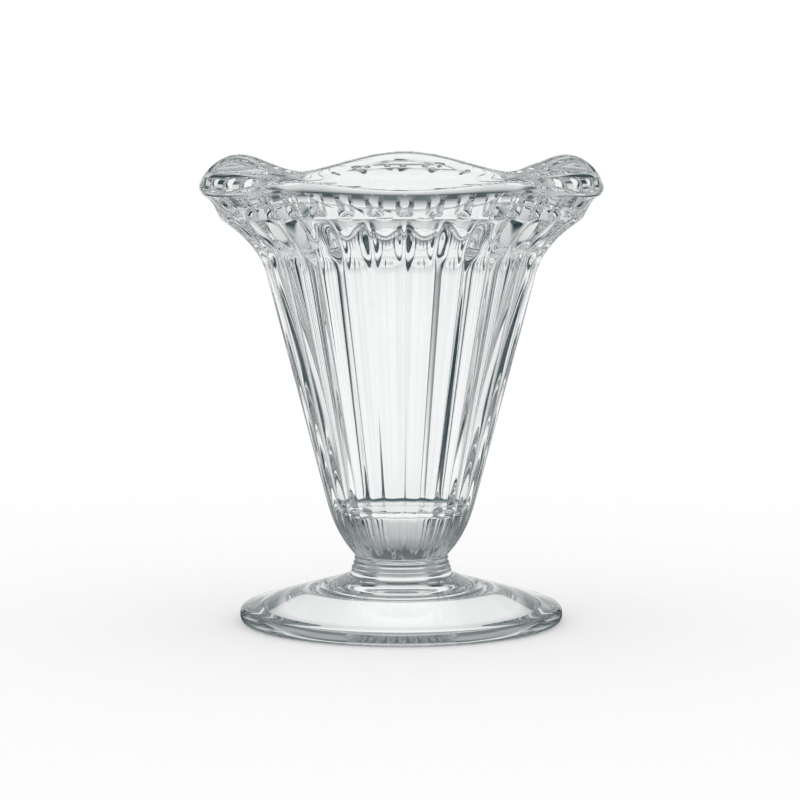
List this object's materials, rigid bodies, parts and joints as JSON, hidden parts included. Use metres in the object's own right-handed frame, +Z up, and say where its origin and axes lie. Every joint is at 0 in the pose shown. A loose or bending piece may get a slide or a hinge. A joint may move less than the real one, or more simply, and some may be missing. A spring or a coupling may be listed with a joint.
{
  "type": "parfait glass",
  "caption": "Clear pressed-glass parfait dish: flared fluted bowl with a petal rim and ribbed collar, on a waisted neck and a shallow round foot.",
  "frame": {"origin": "centre of the flat ring that the foot stands on, at table level", "axes": "+Z up along the glass's axis, from the foot to the rim; -Y is the side that faces the viewer in the picture, where a petal is centred"},
  "size_m": [0.0994, 0.1004, 0.1149],
  "materials": {
    "bowl_glass": "clear pressed glass, fire polished",
    "neck_glass": "clear glass, smooth, with fine rings",
    "foot_glass": "clear pressed glass, fire polished"
  },
  "bodies": {
    "root": {"bowl": "bowl_glass", "neck_wafer": "neck_glass", "foot": "foot_glass"}
  },
  "joints": []
}
